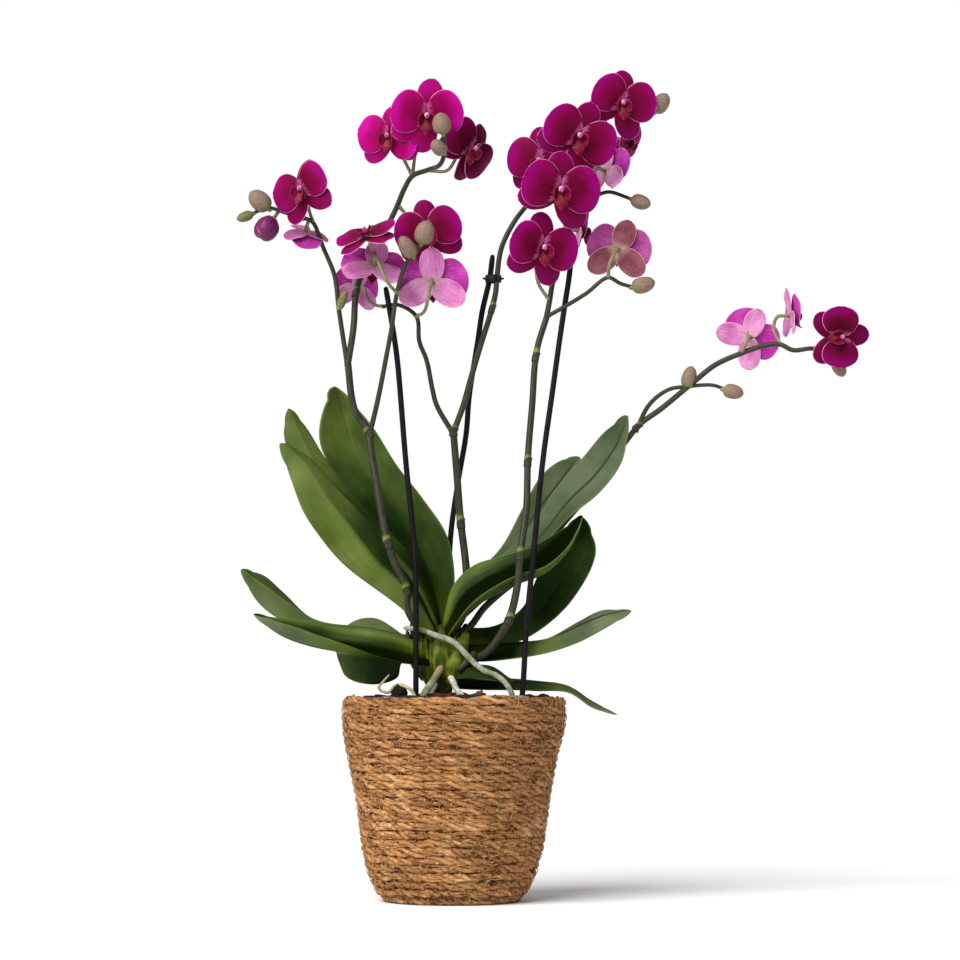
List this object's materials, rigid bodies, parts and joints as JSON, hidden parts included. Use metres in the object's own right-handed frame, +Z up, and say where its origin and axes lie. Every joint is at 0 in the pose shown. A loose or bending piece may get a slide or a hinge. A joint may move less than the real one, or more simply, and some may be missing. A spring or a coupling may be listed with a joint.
{
  "type": "moth orchid in basket",
  "caption": "Potted moth orchid with magenta blooms on arching staked spikes, strap leaves and aerial roots, standing in a round woven seagrass basket.",
  "frame": {"origin": "centre of the flat underside of the basket", "axes": "+Z up; +X to the right seen from the front, where the longest spike reaches out; +Y to the back"},
  "size_m": [0.4263, 0.1508, 0.5616],
  "materials": {
    "basket": "woven seagrass rope, dry and matt",
    "liner": "thin clear film",
    "pot": "moulded black plastic",
    "bark": "dry pine bark",
    "crown": "fresh yellow-green leaf bases, satin",
    "leaf": "thick waxy leaf, satin",
    "spike": "smooth green-brown flower stem, satin",
    "stake": "dark moulded plastic, satin",
    "clip": "dark moulded plastic, satin",
    "root_silver": "silvery velamen, matt",
    "root_pale": "whitish velamen, matt",
    "root_dry": "dry tan root, matt",
    "bloom": "soft velvety petal, magenta in front and pink behind"
  },
  "bodies": {
    "root": {"bark": "bark", "basket": "basket", "basket_liner": "liner", "bloom_far_left_1": "bloom", "bloom_far_left_2": "bloom", "bloom_far_left_3": "bloom", "bloom_far_right_1": "bloom", "bloom_far_right_2": "bloom", "bloom_far_right_3": "bloom", "bloom_mid_left_1": "bloom", "bloom_mid_left_2": "bloom", "bloom_mid_left_3": "bloom", "bloom_mid_left_4": "bloom", "bloom_mid_left_5": "bloom", "bloom_right_1": "bloom", "bloom_right_2": "bloom", "bloom_right_3": "bloom", "bloom_right_4": "bloom", "bloom_right_5": "bloom", "bloom_right_6": "bloom", "bloom_right_7": "bloom", "bloom_right_8": "bloom", "bloom_right_9": "bloom", "bloom_top_left_1": "bloom", "bloom_top_left_2": "bloom", "bloom_top_left_3": "bloom", "crown": "crown", "leaf_left_1": "leaf", "leaf_left_2": "leaf", "leaf_left_3": "leaf", "leaf_left_4": "leaf", "leaf_left_5": "leaf", "leaf_left_6": "leaf", "leaf_right_1": "leaf", "leaf_right_2": "leaf", "leaf_right_3": "leaf", "leaf_right_4": "leaf", "leaf_right_5": "leaf", "leaf_right_6": "leaf", "leaf_right_7": "leaf", "nursery_pot": "pot", "root_across": "root_silver", "root_curled": "root_dry", "root_tan": "root_dry", "root_thin": "root_silver", "root_white": "root_pale", "spike_far_right": "spike", "spike_left": "spike", "spike_middle": "spike", "spike_right": "spike", "stake_clip": "clip", "stake_left": "stake", "stake_middle": "stake", "stake_right": "stake"}
  },
  "joints": []
}
